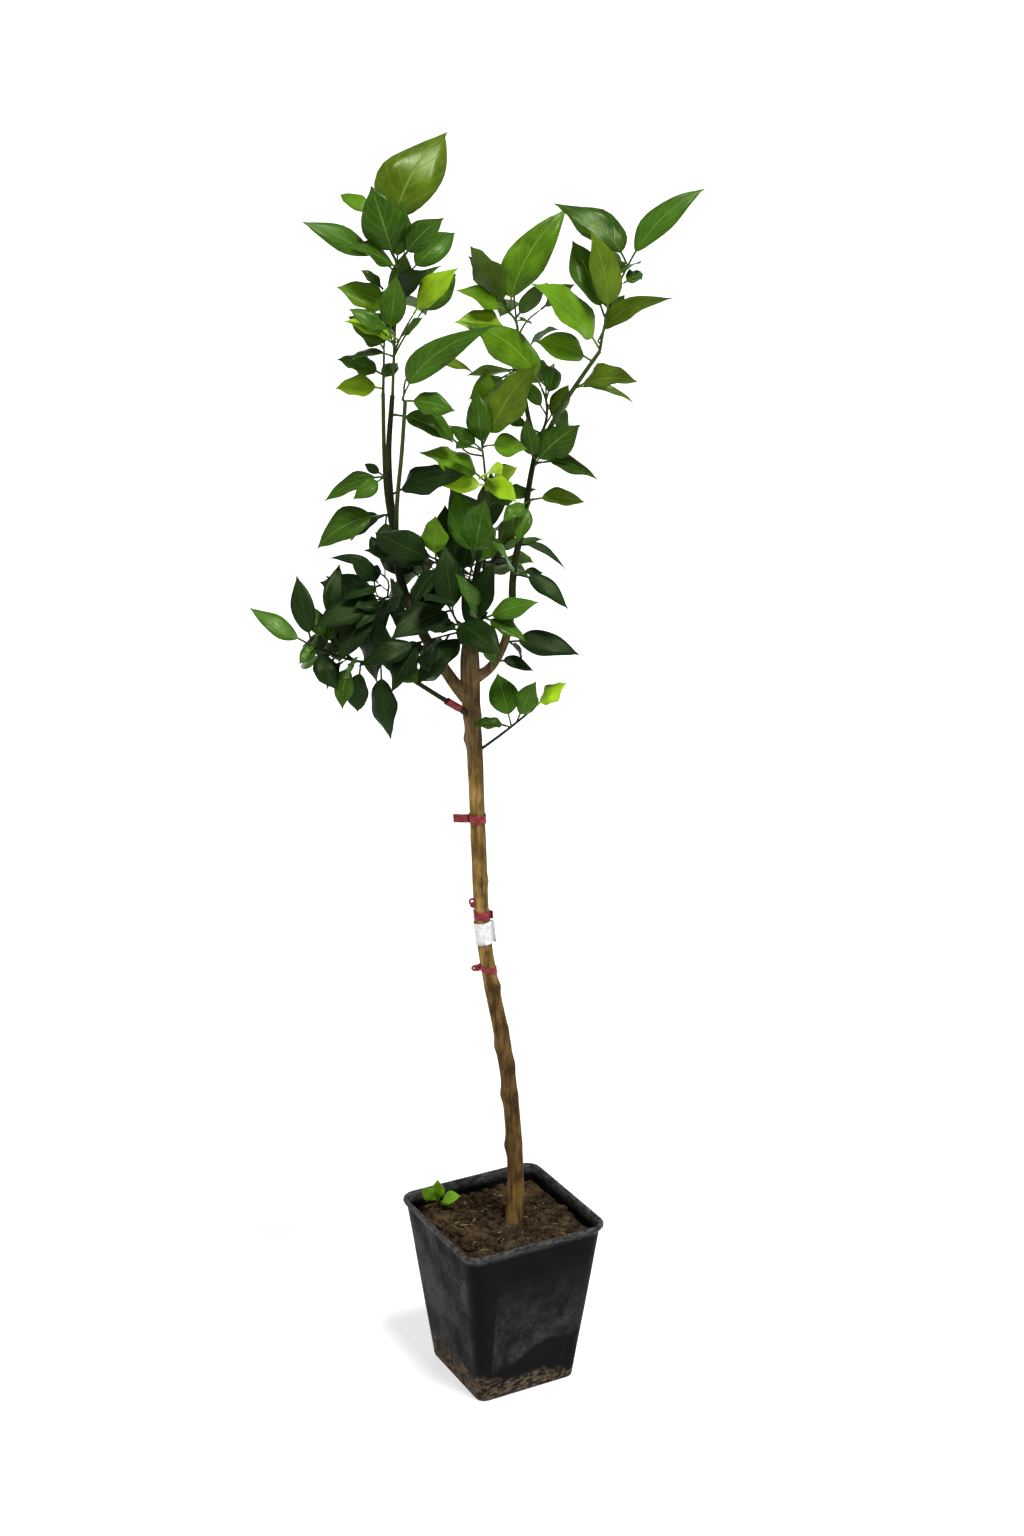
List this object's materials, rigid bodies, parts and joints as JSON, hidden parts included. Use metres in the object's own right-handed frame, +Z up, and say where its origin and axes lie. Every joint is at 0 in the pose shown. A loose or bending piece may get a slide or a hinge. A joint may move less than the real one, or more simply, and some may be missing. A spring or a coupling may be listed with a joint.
{
  "type": "potted lemon tree",
  "caption": "Young lemon tree with a slim leaning trunk and an open leafy crown, in a square black nursery pot.",
  "frame": {"origin": "centre of the pot's flat underside, on the floor", "axes": "+Z up; the pot's four sides face +X, -X, +Y and -Y. The plant's best side is turned 28.4 degrees from -Y towards -X"},
  "size_m": [0.3994, 0.2924, 1.3091],
  "materials": {
    "pot": "dusty black plastic with a scuffed rim",
    "soil": "moist dark soil",
    "bark": "young olive-brown bark",
    "twig": "smooth green shoot",
    "leaf": "satin leaf",
    "tape": "red plastic tape",
    "label": "blank white wrap-round label"
  },
  "bodies": {
    "root": {"pot": "pot", "soil": "soil", "trunk": "bark", "bough_left": "bark", "bough_right": "bark", "bough_centre": "bark", "bough_back": "bark", "bough_low": "twig", "branch_twin": "twig", "branch_front": "twig", "branch_mid": "twig", "branch_right": "twig", "left_top": "leaf", "left_twin": "leaf", "left_front": "leaf", "left_shelf": "leaf", "left_side": "leaf", "left_mid": "leaf", "left_in": "leaf", "crown_light": "leaf", "mid_top": "leaf", "mid_low": "leaf", "mid_back": "leaf", "right_top": "leaf", "right_fork": "leaf", "right_light": "leaf", "right_low": "leaf", "right_shelf": "leaf", "right_hook": "leaf", "right_side": "leaf", "right_wing": "leaf", "right_foot": "leaf", "low_right": "leaf", "low_left": "leaf", "left_cloud": "leaf", "front_cloud": "leaf", "top_cloud": "leaf", "back_cloud": "leaf", "seedling": "leaf", "tie_upper": "tape", "tie_middle": "tape", "tie_lower": "tape", "label": "label"}
  },
  "joints": []
}
